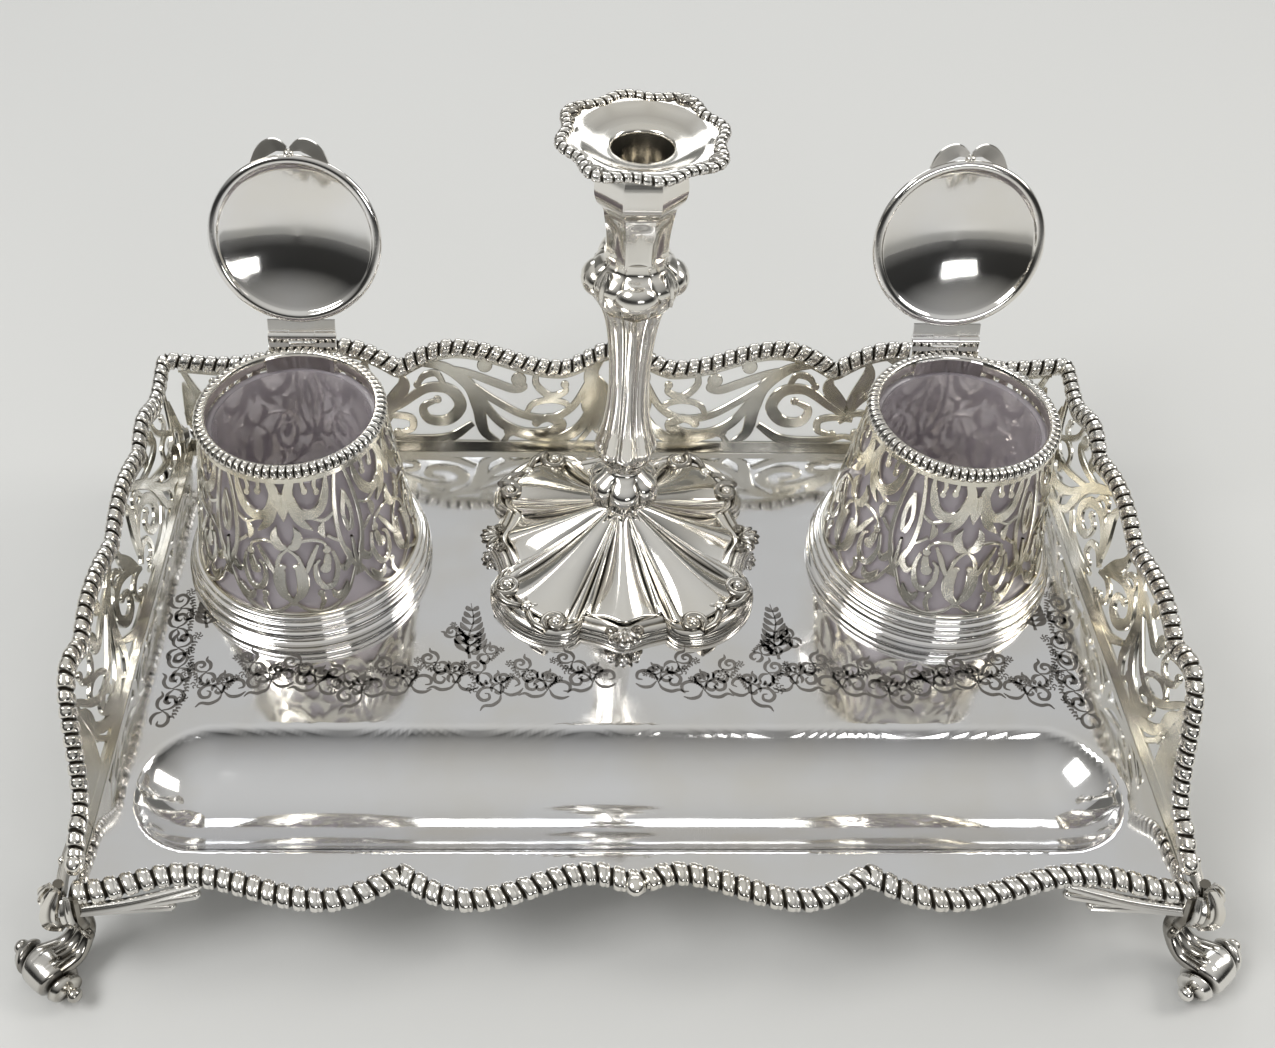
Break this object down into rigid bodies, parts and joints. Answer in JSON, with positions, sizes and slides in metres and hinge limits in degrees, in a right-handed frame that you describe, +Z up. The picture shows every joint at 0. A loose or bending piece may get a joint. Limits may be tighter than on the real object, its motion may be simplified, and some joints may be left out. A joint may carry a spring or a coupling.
{
  "type": "inkstand",
  "caption": "Silver footed desk inkstand: pierced-gallery tray with pen trough, two lidded glass-lined ink pots and a lift-off taper stick with loose nozzle.",
  "frame": {"origin": "centre of the outline, on the table under the feet", "axes": "+X along the tray to the right, +Y to the back gallery, +Z up"},
  "size_m": [0.3446, 0.2168, 0.189],
  "materials": {
    "polished_silver": "mirror-polished silver with fine hand scratches",
    "cast_silver": "cast and chased silver, dark tarnish in the recesses",
    "pierced_silver": "saw-pierced silver sheet, slightly warm tarnish",
    "frosted_glass": "frosted lilac-grey glass"
  },
  "bodies": {
    "tray": {"tray_plate": "polished_silver", "back_gallery": "pierced_silver", "left_gallery": "pierced_silver", "right_gallery": "pierced_silver", "back_border": "cast_silver", "left_border": "cast_silver", "right_border": "cast_silver", "front_border": "cast_silver", "front_left_foot": "cast_silver", "front_right_foot": "cast_silver", "back_left_foot": "cast_silver", "back_right_foot": "cast_silver", "left_pot_collar": "polished_silver", "right_pot_collar": "polished_silver", "stick_collar": "polished_silver"},
    "left_pot": {"left_pot_drum": "pierced_silver", "left_foot_moulding": "polished_silver", "left_base_plate": "polished_silver", "left_rim": "cast_silver", "left_hinge_plate": "polished_silver", "left_hinge_backing": "polished_silver", "left_hinge_pin": "polished_silver", "left_liner": "frosted_glass"},
    "right_pot": {"right_pot_drum": "pierced_silver", "right_foot_moulding": "polished_silver", "right_base_plate": "polished_silver", "right_rim": "cast_silver", "right_hinge_plate": "polished_silver", "right_hinge_backing": "polished_silver", "right_hinge_pin": "polished_silver", "right_liner": "frosted_glass"},
    "left_lid": {"left_lid": "polished_silver", "left_lid_leaf": "polished_silver", "left_thumbpiece": "polished_silver"},
    "right_lid": {"right_lid": "polished_silver", "right_lid_leaf": "polished_silver", "right_thumbpiece": "polished_silver"},
    "taper_stick": {"stick_foot": "polished_silver", "stick_moulding": "cast_silver", "stick_knop": "polished_silver", "stick_stem": "polished_silver", "stick_shoulder": "polished_silver", "stick_socket": "polished_silver"},
    "nozzle": {"nozzle": "cast_silver"}
  },
  "joints": [
    {"name": "left_pot_lift", "type": "slide", "parent": "tray", "child": "left_pot", "axis": [0, 0, 1], "range_m": [0, 0.06]},
    {"name": "right_pot_lift", "type": "slide", "parent": "tray", "child": "right_pot", "axis": [0, 0, 1], "range_m": [0, 0.06]},
    {"name": "left_lid_hinge", "type": "hinge", "parent": "left_pot", "child": "left_lid", "pos_m": [-0.1014, 0.0644, 0.09885], "axis": [-1, 0, 0], "range_deg": [-107, 0]},
    {"name": "right_lid_hinge", "type": "hinge", "parent": "right_pot", "child": "right_lid", "pos_m": [0.1014, 0.0644, 0.09885], "axis": [-1, 0, 0], "range_deg": [-107, 0]},
    {"name": "taper_stick_lift", "type": "slide", "parent": "tray", "child": "taper_stick", "axis": [0, 0, 1], "range_m": [0, 0.06]},
    {"name": "nozzle_lift", "type": "slide", "parent": "taper_stick", "child": "nozzle", "axis": [0, 0, 1], "range_m": [0, 0.03]}
  ]
}
